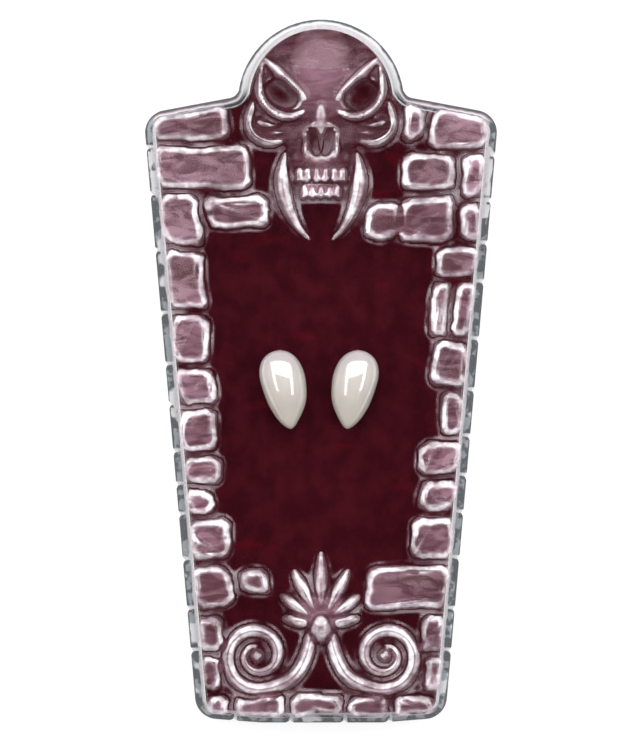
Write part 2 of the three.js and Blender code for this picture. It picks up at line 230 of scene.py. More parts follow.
@dataclass(frozen=True)
class Rib:
    """A raised rib: X, Y and half width along its path, and its rise as a multiple of the half width."""

    tall: float
    stations: tuple[Station, ...]

    def model(self, side: Side = Side.RIGHT) -> bpy.types.Object:
        """Models it as a closed mesh along a smooth path on one side of the box."""
        bpy.ops.curve.primitive_nurbs_path_add(location=(0, 0, 0))
        path = bpy.context.object
        spline = path.data.splines[0]
        spline.points.add(len(self.stations) - len(spline.points))
        for point, (x, y, half) in zip(spline.points, self.stations):
            point.co = (side.value * x, y, 0, 1)
            point.radius = half
        spline.use_endpoint_u = True
        spline.order_u = 3
        spline.resolution_u = 6
        path.data.bevel_depth = 1.0
        path.data.bevel_resolution = 5
        path.data.use_fill_caps = True
        bpy.ops.object.convert(target="MESH")
        piece = bpy.context.object
        piece.scale.z = self.tall
        piece.location.z = PLATE
        apply_place()
        return piece


def settle(piece: bpy.types.Object, crease: float = 35.0) -> bpy.types.Object:
    """Brings a finished piece to metres with smooth faces, and returns it."""
    active(piece)
    piece.scale = (MM, MM, MM)
    apply_place()
    bpy.ops.object.shade_smooth_by_angle(angle=math.radians(crease))
    return piece


# Outline


@dataclass(frozen=True)
class CoffinPlan:
    """The outline of the box at its foot, symmetrical about Y."""

    length: float = 140.4
    foot: tuple[float, float] = (24.8, -69.2)
    shoulder: tuple[float, float] = (35.48, 51.3)
    valley: tuple[float, float] = (17.3, 54.7)
    foot_bow: float = 12.0
    rounds: tuple[float, ...] = (8.0, 4.5, 4.5, 2.0)
    dome_y: float = 53.6
    dome_springs: float = 8.0
    arc_step: float = 5.0
    notch_half: float = 0.8
    notch_deep: float = 0.5

    def side_at(self, y: float) -> float:
        """Returns how far the straight side stands from the middle at a height along the box."""
        share = (y - self.foot[1]) / (self.shoulder[1] - self.foot[1])
        return self.foot[0] + share * (self.shoulder[0] - self.foot[0])

    def outline(self) -> list[Vector]:
        """Returns the outline's points, counterclockwise from the foot."""
        radius = self.length / 2 - self.dome_y
        corners = [(self.foot_bow, -self.length / 2), self.foot, self.shoulder, self.valley]
        steps = round((180 - 2 * self.dome_springs) / self.arc_step)
        dome = []
        for k in range(steps + 1):
            angle = math.radians(self.dome_springs + (180 - 2 * self.dome_springs) * k / steps)
            dome.append((radius * math.cos(angle), self.dome_y + radius * math.sin(angle)))
        places = corners + dome + [(-x, y) for x, y in reversed(corners)]
        rounds = [*self.rounds, *[0.0] * len(dome), *reversed(self.rounds)]
        points = []
        for i, (place, radius) in enumerate(zip(places, rounds)):
            points += self.corner(places[i - 1], place, places[(i + 1) % len(places)], radius)
        return points

    def inset_of(self, places: np.ndarray) -> np.ndarray:
        """Returns how far each of many places lies from the outline."""
        starts = np.array(self.outline())
        edges = np.roll(starts, -1, axis=0) - starts
        away = places[:, None, :2] - starts
        along = np.clip((away * edges).sum(2) / np.maximum((edges**2).sum(1), 1e-9), 0, 1)
        return np.linalg.norm(away - along[:, :, None] * edges, axis=2).min(axis=1)

    def joint_of(self, places: np.ndarray, joints: Sequence[Vector]) -> np.ndarray:
        """Returns how close each of many places is to a joint in the outline.

        Args:
            places: The places, a row each.
            joints: Points on the outline.

        Returns:
            1 at a joint and 0 past its notch, and below 0 on the foot side of it, or the left side of one
            at the foot.
        """
        apart = places[:, None, :2] - np.array(joints)
        at_foot = np.array([abs(joint.x) < self.foot_bow + self.rounds[0] for joint in joints])
        along = np.where(at_foot, apart[:, :, 0], apart[:, :, 1])
        across = np.where(at_foot, apart[:, :, 1], apart[:, :, 0])
        close = np.clip(1 - np.abs(along) / (self.notch_half + 0.1), 0, 1) * (np.abs(across) < 4)
        rows, nearest = np.arange(len(places)), close.argmax(axis=1)
        return close[rows, nearest] * np.where(along[rows, nearest] < -0.01, -1, 1)

    def corner(self, before: Any, here: Any, after: Any, radius: float) -> list[Vector]:
        """Rounds one corner.

        Args:
            before: The corner before it.
            here: The corner's own place.
            after: The corner after it.
            radius: The arc's radius, or 0 to keep it sharp.

        Returns:
            The arc's points, or the corner alone.
        """
        here = Vector(here)
        if not radius:
            return [here]
        into = (here - Vector(before)).normalized()
        out = (Vector(after) - here).normalized()
        turn = math.atan2(into.cross(out), into.dot(out))
        start = here - into * radius * math.tan(abs(turn) / 2)
        centre = start + Vector((-into.y, into.x)) * math.copysign(radius, turn)
        steps = max(2, math.ceil(abs(turn) / math.radians(self.arc_step)))
        turns = (Matrix.Rotation(turn * k / steps, 2) for k in range(steps + 1))
        return [centre + part @ (start - centre) for part in turns]

    def notched(self, joints: Sequence[Vector]) -> list[tuple[Vector, float]]:
        """Cuts a notch in the outline at each joint between stones.

        Args:
            joints: Points on the outline.

        Returns:
            Each point with how deep its notch is there.
        """
        points = self.outline()
        result = []
        for i, here in enumerate(points):
            edge = points[(i + 1) % len(points)] - here
            way = edge.normalized()
            near = [joint - here for joint in joints if abs((joint - here).cross(way)) < self.notch_deep]
            runs = sorted(apart.dot(way) for apart in near)
            runs = [run for run in runs if self.notch_half < run < edge.length - self.notch_half]
            result.append((here, 0.0))
            for run in runs:
                for off in (-1.0, -0.35, 0.0, 0.35, 1.0):
                    deep = self.notch_deep * (1 - abs(off) ** 0.7)
                    result.append((here + way * (run + off * self.notch_half), deep))
        return result

    def ring(self, points: Sequence[Any], inset: float, z: float) -> Ring:
        """Draws the outline in and lays it at a height.

        Args:
            points: Plain points, or points with their notch depths.
            inset: How far it is drawn in.
            z: The height.

        Returns:
            The ring.
        """
        pairs = [point if isinstance(point, tuple) else (point, 0.0) for point in points]
        ring = []
        for i, (here, deep) in enumerate(pairs):
            into = (here - pairs[i - 1][0]).normalized()
            out = (pairs[(i + 1) % len(pairs)][0] - here).normalized()
            way = (into + out).normalized()
            run = (inset + deep) / max(0.7, way.dot(into))
            ring.append(Vector((here.x - way.y * run, here.y + way.x * run, z)))
        return ring

    def rings(self, points: Sequence[Any], levels: Iterable[tuple[float, float]]) -> list[Ring]:
        """Returns a ring for each level, which is how far it is drawn in and its height."""
        return [self.ring(points, inset, z) for inset, z in levels]


# Shader building


class Wire:
    """A socket that can be used in sums, which adds the Math nodes."""

    def __init__(self, kit: "NodeKit", socket: bpy.types.NodeSocket) -> None:
        self.kit = kit
        self.socket = socket

    def maths(self, operation: str, *values: Any) -> "Wire":
        """Adds a Math node on values and returns its result."""
        return self.kit.node("ShaderNodeMath", {"operation": operation}, dict(enumerate(values)))

    def __add__(self, other: Any) -> "Wire":
        """Returns self + other."""
        return self.maths("ADD", self, other)

    __radd__ = __add__

    def __mul__(self, other: Any) -> "Wire":
        """Returns self * other."""
        return self.maths("MULTIPLY", self, other)

    __rmul__ = __mul__

    def __sub__(self, other: Any) -> "Wire":
        """Returns self - other."""
        return self.maths("SUBTRACT", self, other)

    def __rsub__(self, other: Any) -> "Wire":
        """Returns other - self."""
        return self.maths("SUBTRACT", other, self)

    def __pow__(self, other: Any) -> "Wire":
        """Returns self ** other."""
        return self.maths("POWER", self, other)

    def __abs__(self) -> "Wire":
        """Returns the distance from 0."""
        return self.maths("ABSOLUTE", self)


class NodeKit:
    """Adds nodes to one material."""

    def __init__(self, name: str) -> None:
        """Starts an empty node tree in a new material."""
        self.material = bpy.data.materials.new(name)
        self.material.use_nodes = True
        self.tree = self.material.node_tree
        self.tree.nodes.clear()

    def node(self, kind: str, settings: dict[str, Any], values: dict[Any, Any], out: Any = 0) -> Wire:
        """Adds a node.

        Args:
            kind: The node's type.
            settings: Its own settings, and ramp for a colour ramp's stops.
            values: Values or links by socket.
            out: The output that is handed back.

        Returns:
            The output.
        """
        node = self.tree.nodes.new(kind)
        for name, value in settings.items():
            if name != "ramp":
                setattr(node, name, value)
                continue
            while len(node.color_ramp.elements) < len(value):
                node.color_ramp.elements.new(0.5)
            for stop, (place, colour) in zip(node.color_ramp.elements, value):
                stop.position = place
                stop.color = (*colour, 1)
        for name, value in values.items():
            if isinstance(value, Wire):
                self.tree.links.new(value.socket, node.inputs[name])
            else:
                node.inputs[name].default_value = value
        return Wire(self, node.outputs[out])

    def place(self) -> Wire:
        """Returns the place on the piece, in metres."""
        return self.node("ShaderNodeTexCoord", {}, {}, "Object")

    def axis(self, vector: Wire, name: str) -> Wire:
        """Returns one part of a vector."""
        return self.node("ShaderNodeSeparateXYZ", {}, {0: vector}, name)

    def noise(
        self, size_mm: float, stretch: Size = (1, 1, 1), detail: float = 3.0, warp: float = 0.0
    ) -> Wire:
        """Returns noise whose lumps are about a size in millimetres."""
        place = self.node("ShaderNodeMapping", {}, {0: self.place(), "Scale": stretch})
        values = {"Vector": place, "Scale": 1 / (size_mm * MM), "Detail": detail, "Distortion": warp}
        return self.node("ShaderNodeTexNoise", {}, values, "Fac")

    def ramp(self, value: Wire, *stops: tuple[float, Colour]) -> Wire:
        """Returns the colour at a value between stops."""
        return self.node("ShaderNodeValToRGB", {"ramp": stops}, {0: value})

    def attribute(self, name: str) -> Wire:
        """Returns a number that is kept with the piece's vertices."""
        return self.node("ShaderNodeAttribute", {"attribute_name": name}, {}, "Fac")

    def held(self, value: Wire, low: float = 0.0, high: float = 1.0) -> Wire:
        """Returns a value held between two limits."""
        return self.node("ShaderNodeClamp", {}, {0: value, 1: low, 2: high})

    def towards(self, vector: Wire, way: Colour) -> Wire:
        """Returns how much of a vector points a certain way."""
        settings = {"operation": "DOT_PRODUCT"}
        return self.node("ShaderNodeVectorMath", settings, {0: vector, 1: way}, "Value")

    def rise(self, value: Wire, low: float, high: float) -> Wire:
        """Returns 0 below low and 1 above high, smoothly."""
        settings = {"interpolation_type": "SMOOTHSTEP"}
        return self.node("ShaderNodeMapRange", settings, {0: value, 1: low, 2: high})

    def past(self, value: Wire, span_mm: tuple[float, float]) -> Wire:
        """Returns how far a place in metres is past a span given in millimetres, from 0 to 1."""
        return self.rise(value, span_mm[0] * MM, span_mm[1] * MM)

    def blend(self, share: Any, first: Any, second: Any) -> Wire:
        """Mixes two colours, each a wire or three numbers."""
        first, second = ((*c, 1) if isinstance(c, tuple) else c for c in (first, second))
        return self.node("ShaderNodeMix", {"data_type": "RGBA"}, {0: share, 6: first, 7: second}, 2)

    def bump(self, height: Wire, distance_mm: float) -> Wire:
        """Returns a normal that follows a height."""
        return self.node("ShaderNodeBump", {}, {"Height": height, "Distance": distance_mm * MM})

    def finish(self, values: dict[str, Any]) -> bpy.types.Material:
        """Adds the shader with the values of its sockets, and returns the material."""
        shader = self.node("ShaderNodeBsdfPrincipled", {}, values)
        output = self.tree.nodes.new("ShaderNodeOutputMaterial")
        self.tree.links.new(shader.socket, output.inputs["Surface"])
        return self.material


@dataclass(frozen=True)
class Faces:
    """The way the surface faces, its place in metres, and its slope: 0 where it is level, 1 upright."""

    normal: Wire
    across: Wire
    along: Wire
    height: Wire
    slope: Wire

    @classmethod
    def of(cls, kit: NodeKit) -> "Faces":
        """Adds the nodes that read them."""
        normal = kit.node("ShaderNodeNewGeometry", {}, {}, "Normal")
        place = kit.place()
        return cls(normal, *(kit.axis(place, name) for name in "XYZ"), 1 - abs(kit.axis(normal, "Z")))


@dataclass(frozen=True)
class ClearPlastic:
    """Clear moulded plastic: see-through where flat, hazy on the relief, with painted glints along its
    crests and painted reflections and shade on its walls and flange.
    """

    name: str = "clear_plastic"
    haze: Colour = (0.41, 0.225, 0.29)
    # The white, dark slate, dark teal and outline colours are for painted highlights, reflections and
    # shade; the grey-blue is for the walls and for painted reflections on the flange.
    painted_highlight: Colour = (0.95, 0.94, 0.97)
    shade_slate: Colour = (0.028, 0.038, 0.052)
    fog: Colour = (0.34, 0.38, 0.42)
    shade_teal: Colour = (0.012, 0.028, 0.036)
    outline: Colour = (0.03, 0.033, 0.033)
    window_alpha: float = 0.002
    relief: tuple[float, float] = (21.3, 22.3)
    clearer: tuple[float, float] = (-52.0, -28.0)
    high: tuple[float, float] = (23.8, 26.2)
    wall_alpha: float = 0.08
    wall_top: tuple[float, float] = (20.0, 20.6)
    top_rim: tuple[float, float] = (18.6, 19.9)
    foot_rim: tuple[float, float] = (2.4, 3.2)
    flange_from: tuple[float, float] = (1.5, 1.7)
    flange_to: tuple[float, float] = (2.1, 2.2)
    shoulders: tuple[float, float] = (49.6, 50.6)
    dome: tuple[float, float] = (54.5, 57.0)
    skull_y: float = 54.0
    skull_reach: tuple[float, float] = (15.2, 16.8)
    streak_mm: float = 2.8
    patch_mm: float = 5.0
    cloud_mm: float = 16.0
    fleck_mm: float = 1.3
    ripple_mm: float = 3.4
    wander_mm: float = 3.0
    reflection_blotch_mm: float = 2.4
    gleam_mm: float = 6.0
    # Where the painted highlights along the crests and along the foot of the relief begin and end.
    crest: tuple[float, float] = (0.03, 0.2)
    hollow: tuple[float, float] = (0.18, 0.5)
    veil: tuple[float, float] = (0.2, 0.36)
    # Strength of the painted highlight on the top of the forehead.
    forehead_highlight: float = 0.22
    # Painted glints: a way a slope can face, where its glint begins and ends, and its share.
    glints: tuple[tuple[Colour, float, float, float], ...] = (
        ((-0.50, 0.10, 0.86), 0.86, 0.95, 1.0),
        ((0.10, 0.50, 0.86), 0.87, 0.96, 0.8),
        ((0.0, -0.50, 0.86), 0.88, 0.97, 0.55),
        ((0.50, 0.0, 0.86), 0.9, 0.98, 0.4),
    )

    def relief_alpha(self, kit: NodeKit, faces: Faces) -> tuple[Wire, Wire]:
        """Lays haze and painted glints on the relief.

        Args:
            kit: The material's nodes.
            faces: Where and how the surface lies.

        Returns:
            How much the relief hides, and how much of that is painted highlight.
        """
        crest = kit.attribute("crest")
        raised, high = kit.past(faces.height, self.relief), kit.past(faces.height, self.high)
        streaks = kit.rise(kit.noise(self.streak_mm, (0.45, 1.3, 1), 4.0, 1.1), 0.36, 0.64)
        patches = kit.rise(kit.noise(self.patch_mm, detail=2.0), 0.32, 0.66)
        cloudy = 0.7 + 0.45 * kit.rise(kit.noise(self.cloud_mm, detail=1.0), 0.38, 0.62)
        cloudy = cloudy * (0.78 + 0.22 * kit.past(faces.along, self.clearer))
        flecks = kit.rise(kit.noise(self.fleck_mm, detail=3.0), 0.38, 0.66)
        outward = kit.axis(faces.normal, "X") * faces.across.maths("SIGN", faces.across)
        parts = {0: outward, 1: kit.axis(faces.normal, "Y"), 2: kit.axis(faces.normal, "Z")}
        way = kit.node("ShaderNodeCombineXYZ", {}, parts)
        # Painted highlights: crests are drawn white, brightest where the slope faces one of a few set
        # ways, above all towards the window.
        glint = sum(
            share * kit.rise(kit.towards(way, light), low, top) for light, low, top, share in self.glints
        )
        edge = kit.rise(crest, *self.crest)
        crest_glint = edge * (0.34 + 0.66 * glint) * (0.42 + 0.58 * patches) * (0.7 + 0.3 * flecks)
        radius = (faces.across**2 + (faces.along - self.skull_y * MM) ** 2) ** 0.5
        head = 1 - kit.past(radius, self.skull_reach)
        # Painted highlight: a pale line along the foot of the relief, fainter on the skull.
        foot_glint = kit.rise(0 - crest, *self.hollow) * (0.42 - 0.15 * head) * patches
        # Painted highlight on the top of the forehead, with less haze, so darker, over the rest of the
        # skull.
        forehead_highlight = high * head
        streaks = streaks + (0.5 - streaks) * 0.6 * forehead_highlight
        least, streaked = self.veil
        veil = raised * cloudy * (least + streaked * streaks)
        veil = veil * (1 - 0.8 * kit.rise(faces.slope, 0.1, 0.45))
        veil = veil * (1 - 0.7 * head * (1 - high)) + self.forehead_highlight * forehead_highlight
        white = kit.held(1.25 * (crest_glint + foot_glint))
        return veil + crest_glint + foot_glint, white

    def flange(self, kit: NodeKit, faces: Faces) -> tuple[Wire, Wire]:
        """Paints reflections and shade on the flange, which shows through the walls from above.

        Args:
            kit: The material's nodes.
            faces: Where and how the surface lies.

        Returns:
            The flange's painted colour, and where it is.
        """
        joint = kit.attribute("joint")
        inset = kit.attribute("inset") + 0.9 * kit.noise(self.wander_mm) - 0.45
        # Painted reflections: blotches of dark slate and grey-blue, with painted gleams in white.
        reflection_blotches = kit.rise(kit.noise(self.reflection_blotch_mm, detail=2.0), 0.45, 0.55)
        side = kit.blend(reflection_blotches, self.shade_slate, self.fog)
        gleams = kit.rise(kit.noise(self.gleam_mm, detail=2.0), 0.55, 0.6)
        side = kit.blend(gleams, side, self.painted_highlight)
        # Painted shade along the outer edge, and painted highlights along the inner edge and at each
        # joint.
        side = kit.blend(kit.rise(inset, 0.2, 0.45), self.outline, side)
        side = kit.blend(kit.rise(inset, 1.35, 1.55), side, self.painted_highlight)
        side = kit.blend(kit.rise(joint, 0.1, 0.5), side, self.painted_highlight)
        # Painted shade: a dark mark on the foot side of each joint.
        below = kit.rise(0 - joint, 0.1, 0.4) * (1 - kit.rise(inset, 0.8, 1.1))
        side = kit.blend(below, side, self.outline)
        # Painted bands of highlight and shade at the shoulders and round the dome.
        share = 0.45 * inset
        lines = [(0.17, self.outline), (0.25, self.haze), (0.4, self.painted_highlight)]
        lines += [(0.49, self.shade_teal), (0.78, self.shade_teal), (0.86, self.painted_highlight)]
        tint = kit.blend(kit.past(faces.along, self.shoulders), side, kit.ramp(share, *lines))
        lines = [(0.13, self.outline), (0.2, self.fog), (0.28, self.painted_highlight), (0.95, self.painted_highlight)]
        tint = kit.blend(kit.past(faces.along, self.dome), tint, kit.ramp(share, *lines))
        level = kit.past(faces.height, self.flange_from) * (1 - kit.past(faces.height, self.flange_to))
        return tint, level * kit.rise(kit.axis(faces.normal, "Z"), 0.5, 0.68)

    def mould(
        self, kit: NodeKit, faces: Faces, white: Any, hides: Wire, flange: Wire | None = None
    ) -> bpy.types.Material:
        """Builds the plastic that both mouldings share.

        Args:
            kit: The material's nodes.
            faces: Where and how the surface lies.
            white: How much of it is drawn as painted highlight where it hides what is behind it.
            hides: How much it hides, apart from the clear walls and what turns away.
            flange: The colour, of painted reflections and shade, that it has where it hides, in place of
                the haze.

        Returns:
            The material.
        """
        upright = kit.rise(faces.slope, 0.74, 0.9) * (1 - kit.past(faces.height, self.wall_top))
        # Painted shade: the walls are drawn darker and more opaque at their top and foot rims.
        rim_shade = kit.past(faces.height, self.top_rim) + 1 - kit.past(faces.height, self.foot_rim)
        # Painted shade and sheen: where the surface turns away from the view it is drawn darker and more
        # opaque.
        turned = kit.node("ShaderNodeLayerWeight", {}, {"Blend": 0.5}, "Facing")
        edges = (1 - upright) * kit.rise(turned, 0.72, 0.97) * 0.45
        sheen = (1 - upright) * kit.rise(turned, 0.4, 1.0) * 0.2
        # Painted highlights are drawn in white over the haze.
        tint = kit.blend(white, kit.blend(edges * 2, self.haze, self.shade_slate), self.painted_highlight)
        tint = kit.blend(upright, tint, kit.blend(rim_shade, self.fog, self.shade_slate))
        ripple = kit.noise(self.ripple_mm, (0.6, 1.3, 1), 2.0)
        glaze = upright * (self.wall_alpha + 0.4 * rim_shade)
        values = {
            "Base Color": kit.blend(hides, tint, flange) if flange else tint,
            "Roughness": 0.07 + 0.1 * ripple,
            "Alpha": kit.held(self.window_alpha + hides + glaze + edges + sheen, 0.0, 0.95),
            "Normal": kit.bump(ripple, 0.14),
            "IOR": 1.53,
            "Specular IOR Level": 0.0,
            "Coat Weight": 0.9 * (1 - hides) if flange else 0.9,
            "Coat Roughness": 0.04,
        }
        return kit.finish(values)

    def lid(self) -> bpy.types.Material:
        """Builds the lid's material."""
        kit = NodeKit(f"{self.name}_lid")
        faces = Faces.of(kit)
        relief, white = self.relief_alpha(kit, faces)
        return self.mould(kit, faces, white, relief)

    def tray(self) -> bpy.types.Material:
        """Builds the tray's material."""
        kit = NodeKit(f"{self.name}_tray")
        faces = Faces.of(kit)
        flange, is_flange = self.flange(kit, faces)
        return self.mould(kit, faces, 0.0, is_flange, flange)


@dataclass(frozen=True)
class Flock:
    """Dark red flock with a short nap."""

    name: str = "dark_red_flock"
    deep: Colour = (0.030, 0.0015, 0.0042)
    lit: Colour = (0.050, 0.0034, 0.0078)
    redder: Colour = (0.11, 0.002, 0.008)

    def material(self) -> bpy.types.Material:
        """Builds the node material."""
        kit = NodeKit(self.name)
        nap = kit.noise(0.35, detail=2.0)
        clumps = kit.noise(5.0, (1.4, 1, 1), 3.0)
        weave = kit.rise(kit.noise(1.1, (1, 3, 1), 2.0), 0.35, 0.65)
        tint = kit.blend(kit.rise(clumps, 0.35, 0.68), self.deep, self.lit)
        # Brighter red in random patches.
        redder = kit.rise(kit.noise(9.0, (1, 2.2, 1), 3.0), 0.6, 0.8)
        tint = kit.blend(redder * 0.5, tint, self.redder)
        tint = kit.blend(weave * 0.35, tint, self.deep)
        values = {
            "Base Color": tint,
            "Roughness": 0.85 + 0.15 * nap,
            "Normal": kit.bump(nap + clumps * 0.6, 0.1),
            "Sheen Weight": 0.02,
            "Sheen Roughness": 0.5,
            "Sheen Tint": (0.45, 0.1, 0.14, 1),
            "Specular IOR Level": 0.03,
        }
        return kit.finish(values)


@dataclass(frozen=True)
class PearlAcrylic:
    """Tooth-white acrylic, warmer at the tip and cooler and darker at the root end, where the darkening
    is partly painted shade.
    """

    name: str = "pearl_acrylic"
    root: Colour = (0.555, 0.505, 0.51)
    body: Colour = (0.65, 0.605, 0.553)
    tip: Colour = (0.665, 0.618, 0.54)
    root_y: float = 3.2
    tip_y: float = -9.0

    def material(self) -> bpy.types.Material:
        """Builds the node material."""
        kit = NodeKit(self.name)
        along = kit.axis(kit.place(), "Y")
        cloud = kit.noise(3.0, (1, 0.5, 1), 3.0)
        tint = kit.blend(kit.rise(along, self.tip_y * MM, -1.0 * MM), self.tip, self.body)
        # Darker and greyer towards the root end: partly the acrylic's cooler tone, partly painted shade
        # where the top of the cap curves away.
        tint = kit.blend(kit.rise(along, -1.5 * MM, self.root_y * MM), tint, self.root)
        tint = kit.blend(kit.rise(cloud, 0.3, 0.7) * 0.25, tint, self.root)
        values = {
            "Base Color": tint,
            "Roughness": 0.1 + 0.06 * cloud,
            "Normal": kit.bump(kit.noise(1.6, (1, 0.4, 1), 2.0), 0.012),
            "Subsurface Weight": 0.25,
            "Subsurface Radius": (1.0, 0.8, 0.6),
            "Subsurface Scale": 0.0015,
            "IOR": 1.5,
            "Specular IOR Level": 0.6,
            "Coat Weight": 1.0,
            "Coat IOR": 2.0,
            "Coat Roughness": 0.03,
        }
        return kit.finish(values)


@dataclass(frozen=True)
class PaperSweep:
    """Matt white paper for the floor."""

    name: str = "paper_sweep"
    colour: Colour = (0.3, 0.3, 0.3)
    glow: float = 0.8

    def material(self) -> bpy.types.Material:
        """Builds the node material."""
        kit = NodeKit(self.name)
        values = {
            "Base Color": (*self.colour, 1),
            "Roughness": 0.95,
            "Specular IOR Level": 0.1,
            "Emission Color": (1, 1, 1, 1),
            "Emission Strength": self.glow,
        }
        return kit.finish(values)


def dress(piece: bpy.types.Object, material: bpy.types.Material) -> None:
    """Gives a piece one material."""
    piece.data.materials.clear()
    piece.data.materials.append(material)


# Box


@dataclass
class Tray:
    """The shallow back of the box, with its flange and the wall that the card lies on."""

    plan: CoffinPlan
    joints: Sequence[Vector]
    flange_top: float = 2.0
    floor: float = 1.2
    wall_outside: float = 2.0
    wall_inside: float = 3.1
    wall_top: float = 8.0
    lip: float = 0.35

    def build(self) -> bpy.types.Object:
        """Models the tray.

        Returns:
            The finished piece, marked with how far inside the outline it lies and how close to a joint.
        """
        notched = self.plan.notched(self.joints)
        plain = [point for point, _ in notched]
        levels = [
            (self.lip, 0.0),
            (0.0, self.lip),
            (0.0, self.flange_top - self.lip),
            (self.lip, self.flange_top),
            (self.wall_outside, self.flange_top),
            (self.wall_outside, self.wall_top - self.lip),
            (self.wall_outside + self.lip, self.wall_top),
            (self.wall_inside, self.wall_top),
            (self.wall_inside, self.floor),
        ]
        flange = 4
        rings = self.plan.rings(notched, levels[:flange])
        rings += self.plan.rings(plain, levels[flange:])
        piece = loft("clear_tray", rings)
        places = places_of(piece)
        mark(piece, "inset", self.plan.inset_of(places))
        mark(piece, "joint", self.plan.joint_of(places, self.joints))
        return settle(piece)


@dataclass
class VelvetCard:
    """The flocked card that the caps lie on."""

    plan: CoffinPlan
    inset: float = 2.3
    bottom: float = 8.3
    top: float = 9.8
    edge: float = 0.3

    def build(self) -> bpy.types.Object:
        """Models the card with rounded edges, and returns the finished piece."""
        levels = [
            (self.inset + self.edge, self.bottom),
            (self.inset, self.bottom + self.edge),
            (self.inset, self.top - self.edge),
            (self.inset + self.edge, self.top),
        ]
        return settle(loft("flocked_card", self.plan.rings(self.plan.outline(), levels)))


@dataclass(frozen=True)
class Stone:
    """One stone beside a long side: its head and foot along the box, and its reach in from the side."""

    head: float
    foot: float
    start: float
    end: float


